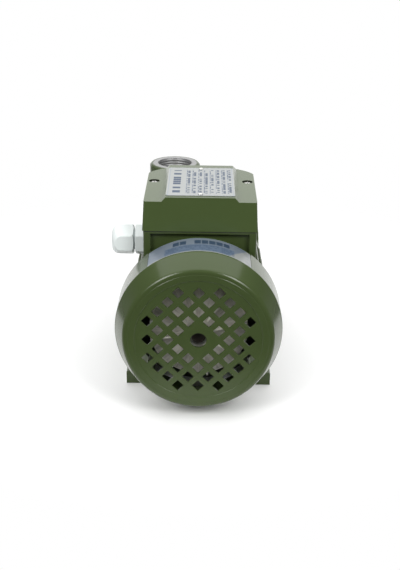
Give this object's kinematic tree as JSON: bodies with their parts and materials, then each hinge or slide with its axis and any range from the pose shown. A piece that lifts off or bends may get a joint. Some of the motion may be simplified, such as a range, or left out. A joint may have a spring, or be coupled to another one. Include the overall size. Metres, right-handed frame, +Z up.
{
  "type": "peripheral motor pump",
  "caption": "Small close-coupled peripheral pump: round grilled fan cover, finned motor on feet, terminal box with gland, and a cast pump head with threaded top and side ports.",
  "frame": {"origin": "centre of the four foot holes, in the plane the feet stand on", "axes": "+Z up, shaft along Y with the fan cover towards -Y and the pump head towards +Y, cable gland towards -X"},
  "size_m": [0.1348, 0.239, 0.1631],
  "materials": {
    "green_paint": "gloss olive green enamel over cast aluminium and steel",
    "green_plastic": "gloss olive green moulded plastic",
    "green_iron": "olive green enamel over cast iron, port faces machined bare",
    "label_foil": "printed foil with plain ruled bars",
    "fan_plastic": "pale grey moulded plastic",
    "pale_plastic": "pale grey-white nylon",
    "black_plastic": "black moulded plastic",
    "rubber": "black rubber",
    "zinc_steel": "zinc plated steel",
    "bearing_steel": "ground bearing steel",
    "stainless": "turned stainless steel",
    "lamination": "stacked electrical steel",
    "copper": "varnished copper wire",
    "cast_aluminium": "as cast aluminium",
    "brass": "machined brass",
    "carbon": "carbon seal face",
    "ceramic": "ceramic seal face"
  },
  "bodies": {
    "frame": {"fan_cover": "green_plastic", "cover_label": "label_foil", "cover_screws": "zinc_steel", "rear_shield": "cast_aluminium", "tie_bolts": "zinc_steel", "motor_housing": "green_paint", "stator_core": "lamination", "stator_windings": "copper", "pump_bracket": "green_iron", "seal_seat": "ceramic", "casing_seal_ring": "rubber", "pump_casing": "green_iron", "casing_bolts": "zinc_steel", "box_base": "green_paint", "floor_screws": "zinc_steel", "box_gasket": "rubber", "box_lid": "green_plastic", "lid_screws": "zinc_steel", "nameplate": "label_foil", "nameplate_rivets": "zinc_steel", "terminal_block": "black_plastic", "terminal_screws": "brass", "capacitor": "pale_plastic", "capacitor_clamp": "zinc_steel", "earth_screw": "brass", "gland_body": "pale_plastic", "gland_nut": "pale_plastic", "gland_seal": "rubber", "preload_washer": "zinc_steel", "priming_washer": "rubber", "drain_plug": "brass", "drain_washer": "rubber", "rear_bearing_outer_race": "bearing_steel", "front_bearing_outer_race": "bearing_steel"},
    "rotor": {"shaft": "stainless", "fan": "fan_plastic", "fan_clip": "zinc_steel", "rotor_core": "lamination", "rotor_end_rings": "cast_aluminium", "rear_bearing_inner_race": "bearing_steel", "front_bearing_inner_race": "bearing_steel", "impeller": "brass", "impeller_key": "stainless", "impeller_clip": "stainless", "seal_ring": "carbon", "seal_spring": "stainless", "slinger": "rubber"},
    "rear_cage": {"rear_bearing_cage": "brass", "rear_bearing_balls": "bearing_steel"},
    "front_cage": {"front_bearing_cage": "brass", "front_bearing_balls": "bearing_steel"},
    "priming_plug": {"priming_plug": "brass"}
  },
  "joints": [
    {"name": "shaft_spin", "type": "hinge", "parent": "frame", "child": "rotor", "pos_m": [0, 0, 0.0685], "axis": [0, 1, 0], "continuous": true},
    {"name": "rear_cage_spin", "type": "hinge", "parent": "frame", "child": "rear_cage", "pos_m": [0, -0.065, 0.0685], "axis": [0, 1, 0], "continuous": true},
    {"name": "front_cage_spin", "type": "hinge", "parent": "frame", "child": "front_cage", "pos_m": [0, 0.0485, 0.0685], "axis": [0, 1, 0], "continuous": true},
    {"name": "priming_plug_lift", "type": "slide", "parent": "frame", "child": "priming_plug", "axis": [0, 0, 1], "range_m": [0, 0.03]}
  ],
  "couplings": [
    {"joint": "rear_cage_spin", "follows": "shaft_spin", "ratio": 0.3636},
    {"joint": "front_cage_spin", "follows": "shaft_spin", "ratio": 0.38}
  ]
}
